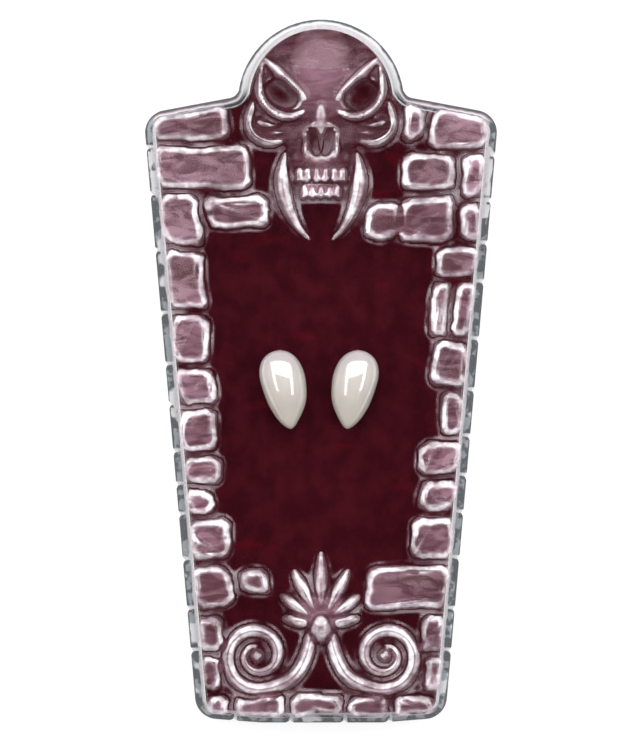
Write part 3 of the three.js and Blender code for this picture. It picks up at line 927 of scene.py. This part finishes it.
@dataclass
class Stonework:
    """The irregular stones round the window."""

    plan: CoffinPlan
    left: tuple[Stone, ...] = (
        Stone(60, 45, 0, 17.2),
        Stone(44, 35.7, 0, 20.6),
        Stone(34.8, 24.6, 0, 10),
        Stone(34.6, 28, 10.8, 23.2),
        Stone(23.4, 12, 0, 9.8),
        Stone(10.8, 1.8, 0, 9.6),
        Stone(0.7, -6.2, 0, 10),
        Stone(-7.2, -15.6, 0, 9.6),
        Stone(-16.6, -22.2, 0, 9.9),
        Stone(-23.2, -28.2, 0, 7.4),
        Stone(-29.2, -37.2, 0, 10.2),
        Stone(-38.3, -47, 0, 9.8),
        Stone(-38.8, -43.8, 11, 17.2),
        Stone(-48.1, -55.4, 0, 6.8),
        Stone(-56.4, -63, 0, 5.6),
    )
    right: tuple[Stone, ...] = (
        Stone(60, 43.6, 0, 13.6),
        Stone(60, 45, 14.8, 19.4),
        Stone(42.4, 34.4, 0, 6.8),
        Stone(42.6, 35.4, 7.9, 18.6),
        Stone(33.4, 26, 0, 6),
        Stone(34.2, 25.4, 7.1, 18.6),
        Stone(33.2, 26.0, 18.2, 24.8),
        Stone(24.8, 18.2, 0, 10),
        Stone(17.2, 6.8, 0, 5.8),
        Stone(17.4, 6.4, 6.8, 10.2),
        Stone(5.8, -3.4, 0, 9.4),
        Stone(-4.4, -12.6, 0, 6.8),
        Stone(-13.6, -20.4, 0, 9.9),
        Stone(-21.5, -27.8, 0, 9.6),
        Stone(-28.8, -36.8, 0, 10.6),
        Stone(-38, -47, 0, 18.4),
        Stone(-48.1, -55.4, 0, 6.8),
        Stone(-56.4, -63, 0, 5.6),
    )
    foot_joints: tuple[float, ...] = (-17.4, -6.2, 4.6, 13.6)
    foot_course: tuple[float, float] = (-63.8, -68.2)
    joint: float = 0.9
    edge_inset: float = 1.9
    top: float = 2.5
    spread: float = 0.45
    corner: float = 2.2
    bevel: float = 1.3
    hewn: tuple[tuple[float, float], ...] = ((7.0, 1.9), (2.2, 0.57))

    def block(self, corners: Sequence[tuple[float, float]]) -> bpy.types.Object:
        """Models one pillow-shaped stone.

        Args:
            corners: The four plan corners, counterclockwise from the one with the lowest X and Y.

        Returns:
            The stone, standing on the plate.
        """
        bpy.ops.mesh.primitive_cube_add(size=1)
        stone = bpy.context.object
        middle = Vector((sum(x for x, _ in corners) / 4, sum(y for _, y in corners) / 4))
        order = {(-1, -1): 0, (1, -1): 1, (1, 1): 2, (-1, 1): 3}
        for vertex in stone.data.vertices:
            signs = tuple(int(math.copysign(1, v)) for v in vertex.co)
            place = Vector(corners[order[signs[:2]]])
            if signs[2] < 0:
                place += Vector([math.copysign(self.spread, v) for v in place - middle])
            vertex.co = (*place, PLATE + (self.top if signs[2] > 0 else -1.0))
        shortest = min(math.dist(a, b) for a, b in zip(corners, [*corners[1:], corners[0]]))
        top = PLATE + self.top
        bevel_edges(stone, lambda a, b: abs(a.z - b.z) > 1, min(self.corner, shortest * 0.4), 5)
        bevel_edges(stone, lambda a, b: min(a.z, b.z) > top - 0.01, min(self.bevel, shortest * 0.3), 4)
        return stone

    def beside(self, stone: Stone, side: Side) -> bpy.types.Object:
        """Models a stone beside a long side, which ends along the shoulder's slope at the head."""
        (wide, shoulder), (valley_x, valley_y) = self.plan.shoulder, self.plan.valley
        outer = stone.start or self.edge_inset
        head = min(stone.head, shoulder)
        rows = [(stone.foot, stone.end), (stone.foot, outer), (head, outer), (head, stone.end)]
        corners = [(self.plan.side_at(y) - inset, y) for y, inset in rows]
        if side is Side.LEFT:
            corners = [(-x, y) for x, y in (corners[1], corners[0], corners[3], corners[2])]
        if stone.head > shoulder:
            slope = (valley_y - shoulder) / (wide - valley_x)
            low = shoulder - self.edge_inset
            corners[2:] = [(x, low + slope * (wide - abs(x))) for x, _ in corners[2:]]
        return self.block(corners)

    def joints(self) -> list[Vector]:
        """Returns where the joints between stones meet the outline."""
        places = []
        for side, stones in ((Side.LEFT, self.left), (Side.RIGHT, self.right)):
            outer = [stone for stone in stones if not stone.start]
            for above, below in zip(outer, outer[1:]):
                y = (above.foot + below.head) / 2
                places.append(Vector((side.value * self.plan.side_at(y), y)))
        return places + [Vector((x, -self.plan.length / 2)) for x in self.foot_joints]

    def build(self) -> bpy.types.Object:
        """Models all the stones with uneven edges.

        Returns:
            The stones as one object.
        """
        stones = [self.beside(stone, Side.LEFT) for stone in self.left]
        stones += [self.beside(stone, Side.RIGHT) for stone in self.right]
        reach = self.plan.foot[0] - self.edge_inset
        ends = [-reach, *self.foot_joints, reach]
        head, foot = self.foot_course
        for left, right in zip(ends, ends[1:]):
            a, b = left + self.joint / 2, right - self.joint / 2
            stones.append(self.block([(a, foot), (b, foot), (b, head), (a, head)]))
        work = gather("stonework", stones)
        edit(work, lambda: bpy.ops.mesh.subdivide(number_cuts=3))
        for size, strength in self.hewn:
            grain = bpy.data.textures.new("hewn", "CLOUDS")
            grain.cloud_type = "COLOR"
            grain.noise_scale = size
            settings = {"texture": grain, "texture_coords": "GLOBAL", "direction": "RGB_TO_XYZ"}
            modify(work, "DISPLACE", strength=strength, **settings)
        return work


@dataclass
class Skull:
    """A skull with long fangs, in relief in the dome of the lid."""

    voxel: float = 0.32
    bones: tuple[Swell, ...] = (
        Swell((0, 57.0), (14.4, 12.4, 4.6)),
        Swell((0, 60.2), (9.4, 9.0, 5.3)),
        Swell((0, 50.4), (2.6, 6.2, 4.8)),
        Swell((0, 47.4), (9.0, 6.0, 3.9)),
        Swell((0, 41.4), (7.0, 5.6, 4.4)),
    )
    cheekbone: Swell = Swell((10.6, 47.6), (4.4, 3.4, 2.8))
    socket: Swell = Swell((7.9, 54.4), (3.9, 2.7, 4.4), 4.3, 36)
    nose: Swell = Swell((1.3, 45.0), (1.2, 3.0, 3.4), 3.3, -16)
    brow: Rib = Rib(
        4.2, ((1.7, 52.0, 0.8), (3.4, 53.6, 1.3), (6.4, 56.8, 1.6), (9.6, 60.0, 1.4), (11.6, 61.4, 0.8))
    )
    rim: Rib = Rib(
        4.4,
        (
            (2.2, 52.2, 0.8),
            (4.2, 49.9, 1.2),
            (8.4, 49.8, 1.3),
            (11.7, 52.7, 1.1),
            (12.5, 56.6, 1.0),
            (11.4, 61.0, 0.8),
        ),
    )
    cheek: Rib = Rib(
        2.1,
        (
            (12.4, 54.0, 0.9),
            (14.4, 50.6, 1.2),
            (14.0, 46.6, 1.4),
            (10.6, 44.7, 1.4),
            (7.0, 45.4, 1.0),
            (5.0, 47.4, 0.6),
        ),
    )
    upper_furrow: Rib = Rib(
        6.2,
        (
            (4.8, 48.7, 0.3),
            (7.4, 48.4, 0.5),
            (10.0, 48.3, 0.55),
            (12.2, 48.7, 0.5),
            (13.6, 49.6, 0.3),
        ),
    )
    lower_furrow: Rib = Rib(
        6.2,
        (
            (4.4, 47.4, 0.3),
            (7.0, 46.9, 0.45),
            (9.4, 46.6, 0.5),
            (11.6, 46.7, 0.45),
            (13.2, 47.2, 0.3),
        ),
    )
    nostril: Rib = Rib(
        7.0, ((0.1, 51.2, 0.4), (1.5, 48.6, 0.7), (3.1, 44.8, 0.8), (3.2, 42.0, 0.7), (1.3, 41.0, 0.5))
    )
    fang: Rib = Rib(
        2.1,
        (
            (6.8, 43.4, 0.6),
            (7.4, 40.8, 1.5),
            (7.7, 37.2, 2.1),
            (6.9, 33.0, 1.9),
            (5.3, 29.4, 1.35),
            (3.4, 26.8, 0.7),
            (1.9, 25.6, 0.15),
        ),
    )
    rows: tuple[tuple[int, float, float, float], ...] = ((6, 1.75, 38.4, 4.6), (5, 1.7, 35.2, 3.4))
    tooth_long: float = 2.9
    tooth_fill: float = 0.82
    tooth_round: float = 0.5

    def build(self) -> bpy.types.Object:
        """Models the skull as one solid with its sockets and nose sunk in.

        Returns:
            The skull, standing on the plate.
        """
        bone = [swell.model() for swell in self.bones]
        ribs = (self.brow, self.rim, self.cheek, self.nostril, self.fang)
        ribs += (self.upper_furrow, self.lower_furrow)
        for side in Side:
            bone += [rib.model(side) for rib in ribs]
            bone.append(self.cheekbone.model(side))
        for count, pitch, y, rise in self.rows:
            for i in range(count):
                x = (i - (count - 1) / 2) * pitch
                bone.append(self.tooth((x, y), pitch / 2, rise))
        skull = gather("skull", bone)
        self.fuse(skull)
        for side in Side:
            carve(skull, self.socket.model(side), Cut.TAKE)
            carve(skull, self.nose.model(side), Cut.TAKE)
        self.fuse(skull)
        modify(skull, "SMOOTH", factor=0.5, iterations=4)
        return skull

    def tooth(self, at: tuple[float, float], half: float, rise: float) -> bpy.types.Object:
        """Models one square front tooth, standing on the plate."""
        half_size = (half * self.tooth_fill, self.tooth_long / 2, rise)
        bpy.ops.mesh.primitive_cube_add(size=2, location=(*at, PLATE), scale=half_size)
        tooth = bpy.context.object
        apply_place()
        bevel_edges(tooth, lambda a, b: max(a.z, b.z) > PLATE, self.tooth_round, 3)
        return tooth

    def fuse(self, piece: bpy.types.Object) -> None:
        """Makes one skin of overlapping lumps."""
        piece.data.remesh_voxel_size = self.voxel
        active(piece)
        bpy.ops.object.voxel_remesh()


@dataclass
class Scrolls:
    """A pair of volutes with a palmette between them, in relief at the foot of the lid."""

    centre: tuple[float, float] = (12.6, -56.0)
    outer: float = 7.0
    eye: float = 1.4
    start: float = -115.0
    turns: float = 1.6
    steps: int = 24
    band: tuple[float, float] = (1.9, 1.1)
    band_tall: float = 1.55
    boss: Size = (1.7, 1.7, 3.6)
    bud: Swell = Swell((0, -50.4), (3.1, 3.7, 3.7))
    stem: tuple[Station, ...] = (
        (0.9, -45.6, 0.8),
        (1.7, -50.4, 1.5),
        (2.6, -55.6, 1.8),
        (5.0, -60.4, 1.9),
    )
    leaves: int = 7
    leaf_spread: float = 27.0
    leaf_root: float = -49.8
    leaf_long: tuple[float, float] = (14.4, 8.0)
    leaf_half: float = 1.75
    leaf_high: float = 2.9

    def volute(self, side: Side) -> list[bpy.types.Object]:
        """Models one volute with its raised eye."""
        x, y = self.centre
        path = list(self.stem)
        for k in range(self.steps + 1):
            share = k / self.steps
            angle = math.radians(self.start + 360 * self.turns * share)
            radius = self.outer + (self.eye - self.outer) * share
            half = self.band[0] + (self.band[1] - self.band[0]) * share
            path.append((x + radius * math.cos(angle), y + radius * math.sin(angle), half))
        return [Rib(self.band_tall, tuple(path)).model(side), Swell((x, y), self.boss).model(side)]

    def build(self) -> bpy.types.Object:
        """Models both volutes and the palmette.

        Returns:
            The ornament as one object, standing on the plate.
        """
        pieces = [part for side in Side for part in self.volute(side)]
        middle = (self.leaves - 1) / 2
        for i in range(self.leaves):
            turn = (i - middle) * self.leaf_spread
            share = abs(i - middle) / middle
            reach = (self.leaf_long[0] + (self.leaf_long[1] - self.leaf_long[0]) * share) / 2
            angle = math.radians(turn)
            at = (-reach * math.sin(angle), self.leaf_root + reach * math.cos(angle))
            pieces.append(Swell(at, (self.leaf_half, reach, self.leaf_high), turn=turn).model())
        pieces.append(self.bud.model())
        return gather("scrolls", pieces)


@dataclass(frozen=True)
class CrestMap:
    """How far each spot of a draped sheet stands over its softened self, which shows its crests."""

    corner: tuple[float, float]
    step: tuple[float, float]
    rise: Any

    @classmethod
    def of(cls, sheet: bpy.types.Object, columns: int, passes: int = 9) -> "CrestMap":
        """Reads the map from a sheet that is a grid.

        Args:
            sheet: The draped grid.
            columns: How many vertices lie along X.
            passes: How many times the heights are averaged with their neighbours.

        Returns:
            The map.
        """
        places = places_of(sheet).reshape(-1, columns, 3)
        soft = places[:, :, 2]
        for _ in range(passes):
            wide = np.pad(soft, 1, mode="edge")
            soft = (soft + wide[:-2, 1:-1] + wide[2:, 1:-1] + wide[1:-1, :-2] + wide[1:-1, 2:]) / 5
        first, last = places[0, 0], places[-1, -1]
        step = ((last[0] - first[0]) / (columns - 1), (last[1] - first[1]) / (len(places) - 1))
        return cls((first[0], first[1]), step, places[:, :, 2] - soft)

    def lay_on(self, piece: bpy.types.Object, low: float) -> None:
        """Writes the map to a piece's vertices as the attribute crest, above a height."""
        places = places_of(piece)
        cells = np.rint((places[:, :2] - self.corner) / self.step).astype(int)
        column, row = np.clip(cells, 0, (self.rise.shape[1] - 1, self.rise.shape[0] - 1)).T
        mark(piece, "crest", np.where(places[:, 2] > low, self.rise[row, column], 0.0))


@dataclass
class Lid:
    """The clear lid: drafted walls, a flat window, and relief that the sheet is draped over."""

    plan: CoffinPlan
    stonework: Stonework
    skull: Skull = field(default_factory=Skull)
    scrolls: Scrolls = field(default_factory=Scrolls)
    bottom: float = 2.3
    wall: float = 1.0
    ceiling: float = 19.4
    draft: float = 2.0
    headroom: float = 29.0
    foot_lip: tuple[float, float] = (0.15, 0.3)
    wall_parts: int = 6
    brim: tuple[tuple[float, float], ...] = ((-0.05, -0.4), (0.1, 0.4))
    brim_in: float = 0.4
    overlap: float = 2.0
    block_foot: float = 15.4
    crest_below: float = 0.3
    sheet_above: float = 6.0
    sheet: tuple[float, float] = (74.0, 144.0)
    cell: float = 0.36
    soften: int = 3

    def mould(self) -> bpy.types.Object:
        """Sets the relief on a flat plate, for the sheet to be draped over."""
        plate_size = (*(2 * side for side in self.sheet), 2)
        bpy.ops.mesh.primitive_cube_add(size=1, location=(0, 0, PLATE - 1), scale=plate_size)
        plate = bpy.context.object
        apply_place()
        return gather("mould", [plate, self.stonework.build(), self.skull.build(), self.scrolls.build()])

    def drape(self) -> tuple[bpy.types.Object, CrestMap]:
        """Drapes a fine grid over the mould and closes it into a block.

        Returns:
            The block, whose top is the lid's relief, and the map of its crests.
        """
        mould = self.mould()
        columns, rows = (round(side / self.cell) for side in self.sheet)
        bpy.ops.mesh.primitive_grid_add(
            x_subdivisions=columns,
            y_subdivisions=rows,
            size=1,
            location=(0, 0, self.headroom + self.sheet_above),
        )
        sheet = bpy.context.object
        sheet.name = "clear_lid"
        sheet.scale = (*self.sheet, 1)
        apply_place()
        modify(
            sheet,
            "SHRINKWRAP",
            target=mould,
            wrap_method="PROJECT",
            use_project_z=True,
            use_negative_direction=True,
            use_positive_direction=False,
            cull_face="OFF",
        )
        bpy.data.objects.remove(mould, do_unlink=True)
        modify(sheet, "SMOOTH", factor=0.5, iterations=self.soften)
        crests = CrestMap.of(sheet, columns + 1)
        low = self.block_foot
        down = {"value": (0, 0, low - PLATE)}
        edit(
            sheet,
            lambda: bpy.ops.mesh.select_all(action="DESELECT"),
            lambda: bpy.ops.mesh.select_mode(type="EDGE"),
            lambda: bpy.ops.mesh.select_non_manifold(),
            lambda: bpy.ops.mesh.extrude_edges_move(TRANSFORM_OT_translate=down),
            lambda: bpy.ops.transform.resize(value=(1, 1, 0), center_override=(0, 0, low)),
            lambda: bpy.ops.mesh.edge_face_add(),
            face_outwards,
        )
        return sheet, crests

    def build(self) -> bpy.types.Object:
        """Models the lid.

        Returns:
            The finished piece.
        """
        notched = self.plan.notched(self.stonework.joints())
        plain = self.plan.outline()
        tall = PLATE - self.bottom
        foot_in, foot_up = self.foot_lip
        walls = [(foot_in, self.bottom), (0.0, self.bottom + foot_up)]
        parts = self.wall_parts
        walls += [(self.draft * k / parts, self.bottom + tall * k / parts) for k in range(1, parts)]
        walls += [(self.draft + inset, PLATE + z) for inset, z in self.brim]
        walls += [(self.draft + self.brim_in, self.headroom)]
        envelope = loft("envelope", self.plan.rings(notched, walls))
        relief, crests = self.drape()
        below = [(-self.overlap, 0), (-self.overlap, self.block_foot + 1)]
        carve(relief, loft("lower", self.plan.rings(plain, below)), Cut.JOIN)
        carve(relief, envelope, Cut.KEEP)
        inner = [(self.wall + self.draft / tall * (z - self.bottom), z) for z in (0.0, self.ceiling)]
        carve(relief, loft("hollow", self.plan.rings(plain, inner)), Cut.TAKE)
        crests.lay_on(relief, PLATE - self.crest_below)
        return settle(relief, CREASE)


# Caps


@dataclass(frozen=True)
class Section:
    """One section of a cap: its share of the length, half width, drift, middle height and half depth."""

    along: float
    half: float
    drift: float
    middle: float
    deep: float


@dataclass
class FangCap:
    """A hollow canine cap that lies on its back, root end to +Y."""

    side: Side
    place: tuple[float, float]
    lie: float = 10.1
    length: float = 15.9
    around: int = 24
    wall: float = 0.8
    hollow: tuple[float, float, float, float] = (0.045, 0.58, 0.66, 0.78)
    mouth: tuple[float, float, float] = (7.6, 5.2, 0.6)
    sections: tuple[Section, ...] = (
        Section(0, 0, 0, 5.4, 0),
        Section(0.03, 1.9, 0, 5.3, 1.2),
        Section(0.1, 3.4, 0, 5, 2.4),
        Section(0.2, 4.25, 0.12, 4.6, 3.5),
        Section(0.32, 4.7, 0.4, 4.2, 4.1),
        Section(0.45, 4.55, 0.75, 4.1, 4.1),
        Section(0.58, 4.25, 1.15, 3.8, 3.7),
        Section(0.7, 3.7, 1.35, 3.3, 3.1),
        Section(0.8, 2.9, 1.5, 2.8, 2.45),
        Section(0.9, 1.9, 1.65, 2.4, 1.7),
        Section(0.965, 1, 1.92, 2.15, 0.95),
        Section(1, 0, 2.1, 2.05, 0),
    )

    def ring(
        self, section: Section, inset: float = 0.0, scale: float = 1.0, along: float | None = None
    ) -> Ring:
        """Lays out one section.

        Args:
            section: The section.
            inset: How far it is drawn in.
            scale: A further scale.
            along: Its share of the length, where that isn't the section's own.

        Returns:
            The ring.
        """
        y = (0.5 - (section.along if along is None else along)) * self.length + self.place[1]
        ring = []
        for k in range(self.around):
            angle = 2 * math.pi * k / self.around
            x = self.place[0] - self.side.value * section.drift
            x += scale * max(0.0, section.half - inset) * math.cos(angle)
            z = section.middle + scale * max(0.0, section.deep - inset) * math.sin(angle)
            ring.append(Vector((x, y, z + self.lie)))
        return ring

    def build(self) -> bpy.types.Object:
        """Models the cap with its hollow and mouth.

        Returns:
            The finished piece.
        """
        name = f"{self.side.name.lower()}_fang_cap"
        cap = loft(name, [self.ring(section) for section in self.sections])
        modify(cap, "SUBSURF", levels=2, render_levels=2)
        start, last, end, taper = self.hollow
        inner = [s for s in self.sections[1:-1] if start < s.along <= last]
        rings = [self.ring(self.sections[0], along=start)]
        rings += [self.ring(s, self.wall, taper if s.along == last else 1.0) for s in inner]
        rings += [self.ring(inner[-1], self.length, along=end)]
        hollow = loft("hollow", rings)
        modify(hollow, "SUBSURF", levels=2, render_levels=2)
        carve(cap, hollow, Cut.TAKE)
        edge_y, edge_z, heel = self.mouth
        turn = Matrix.Rotation(math.atan2(edge_z, edge_y - heel), 4, "X")
        bpy.ops.mesh.primitive_cube_add(size=2 * self.length)
        block = bpy.context.object
        shift = Matrix.Translation((self.place[0], self.place[1] + heel, self.lie))
        block.matrix_world = shift @ turn @ Matrix.Translation((0, 0, -self.length))
        apply_place()
        carve(cap, block, Cut.TAKE)
        return settle(cap, CREASE)


# Studio


@dataclass(frozen=True)
class SoftBox:
    """A square or oblong studio light: its middle, its size, its power and what it faces."""

    name: str
    at: Colour
    size: tuple[float, float]
    watts: float
    facing: Colour = (0.0, 0.0, 0.015)


@dataclass
class Studio:
    """The floor, the soft light and the camera straight above."""

    pixel: float = 0.0002
    frame_px: tuple[int, int] = (640, 753)
    distance: float = 1.3
    middle: tuple[float, float] = (-0.0002, -0.0011)
    sky: float = 0.22
    floor_size: float = 4.0
    floor_gap: float = 0.0002
    sensor: float = 24.0
    boxes: tuple[SoftBox, ...] = (
        SoftBox("head_box", (0.0, 0.23, 0.51), (1.16, 0.48), 5.3),
        SoftBox("left_strip", (-0.47, -0.26, 0.596), (0.22, 0.66), 1.4, (-0.47, -0.26, 0.0)),
        SoftBox("right_strip", (0.47, -0.26, 0.596), (0.22, 0.66), 1.4, (0.47, -0.26, 0.0)),
    )

    def build(self) -> None:
        """Adds the floor, the lights and the camera."""
        bpy.ops.mesh.primitive_plane_add(size=self.floor_size, location=(0, 0, -self.floor_gap))
        floor = bpy.context.object
        floor.name = "floor"
        dress(floor, PaperSweep().material())
        for box in self.boxes:
            bpy.ops.object.light_add(type="AREA", location=box.at)
            lamp = bpy.context.object
            lamp.name = box.name
            lamp.data.shape = "RECTANGLE"
            lamp.data.size, lamp.data.size_y = box.size
            lamp.data.energy = box.watts
            away = Vector(box.at) - Vector(box.facing)
            lamp.rotation_euler = away.to_track_quat("Z", "Y").to_euler()
        world = bpy.data.worlds.new("studio")
        world.use_nodes = True
        background = world.node_tree.nodes["Background"]
        background.inputs["Color"].default_value = (1, 1, 1, 1)
        background.inputs["Strength"].default_value = self.sky
        bpy.context.scene.world = world
        bpy.ops.object.camera_add(location=(*self.middle, self.distance), rotation=(0, 0, 0))
        camera = bpy.context.object
        camera.name = "camera"
        camera.data.sensor_fit = "VERTICAL"
        camera.data.sensor_height = self.sensor
        camera.data.lens = self.sensor * self.distance / (self.pixel * self.frame_px[1])
        bpy.context.scene.camera = camera
        bpy.context.scene.view_settings.view_transform = "Standard"


def main() -> None:
    """Builds the scene."""
    logging.basicConfig(level=logging.INFO, format="%(name)s: %(message)s")
    plan = CoffinPlan()
    stonework = Stonework(plan)
    Studio().build()
    clear = ClearPlastic()
    acrylic = PearlAcrylic().material()
    makers = [
        (Tray(plan, stonework.joints()), clear.tray(), "tray", "clear_plastic"),
        (VelvetCard(plan), Flock().material(), "velvet_card", "velvet"),
        (Lid(plan, stonework), clear.lid(), "lid", "clear_plastic"),
        (FangCap(Side.LEFT, (-8.1, -3.7)), acrylic, "left_fang", "acrylic"),
        (FangCap(Side.RIGHT, (7.3, -3.7)), acrylic, "right_fang", "acrylic"),
    ]
    for maker, material, node, slot in makers:
        piece = maker.build()
        dress(piece, material)
        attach(piece, "root")
        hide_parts(node)
        LOG.info("%s stands for %s with %d faces", piece.name, node, len(piece.data.polygons))


if __name__ == "__main__":
    main()
